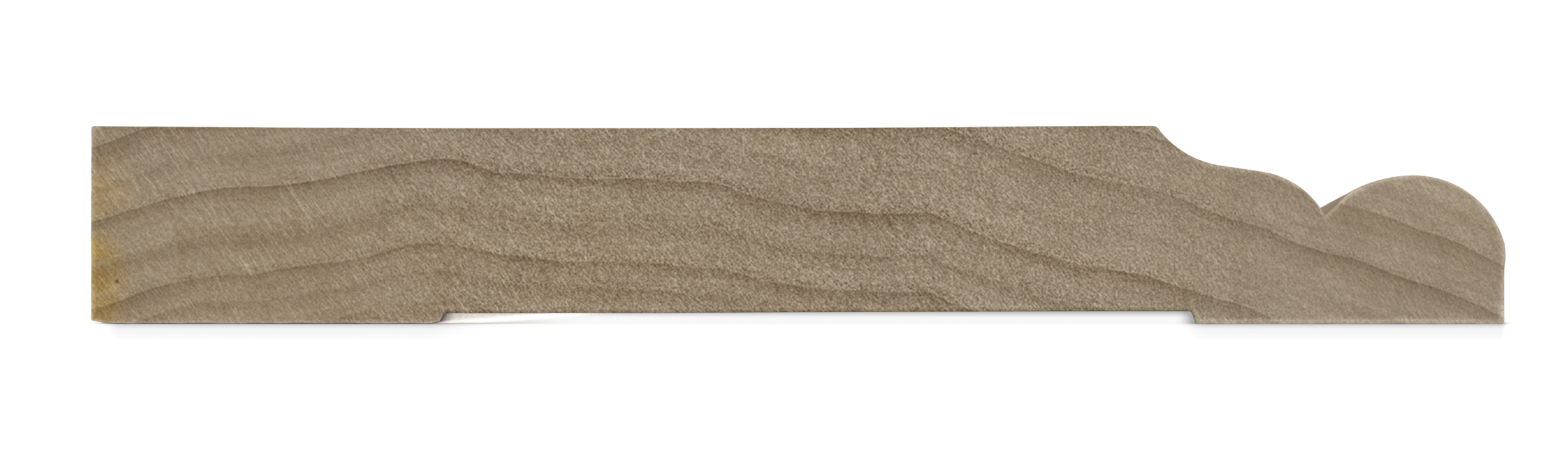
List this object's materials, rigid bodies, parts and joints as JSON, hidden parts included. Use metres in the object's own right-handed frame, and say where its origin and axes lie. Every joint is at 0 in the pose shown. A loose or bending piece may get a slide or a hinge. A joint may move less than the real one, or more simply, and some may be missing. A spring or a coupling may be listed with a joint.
{
  "type": "skirting board",
  "caption": "Solid hardwood skirting board with a flat face, an ogee and bead worked along its top edge, a square floor edge and a shallow relief in its back.",
  "frame": {"origin": "middle of the length and of the width, in the plane of the two feet on the back, with the board lying on its back", "axes": "+Y along the board, +Z out of the wall (the flat face looks up), -X towards the floor edge and +X towards the moulded top edge"},
  "size_m": [0.1356, 1, 0.019],
  "materials": {
    "timber": "bare planed hardwood, unpainted, with sawn end grain"
  },
  "bodies": {
    "root": {"skirting_board": "timber"}
  },
  "joints": []
}
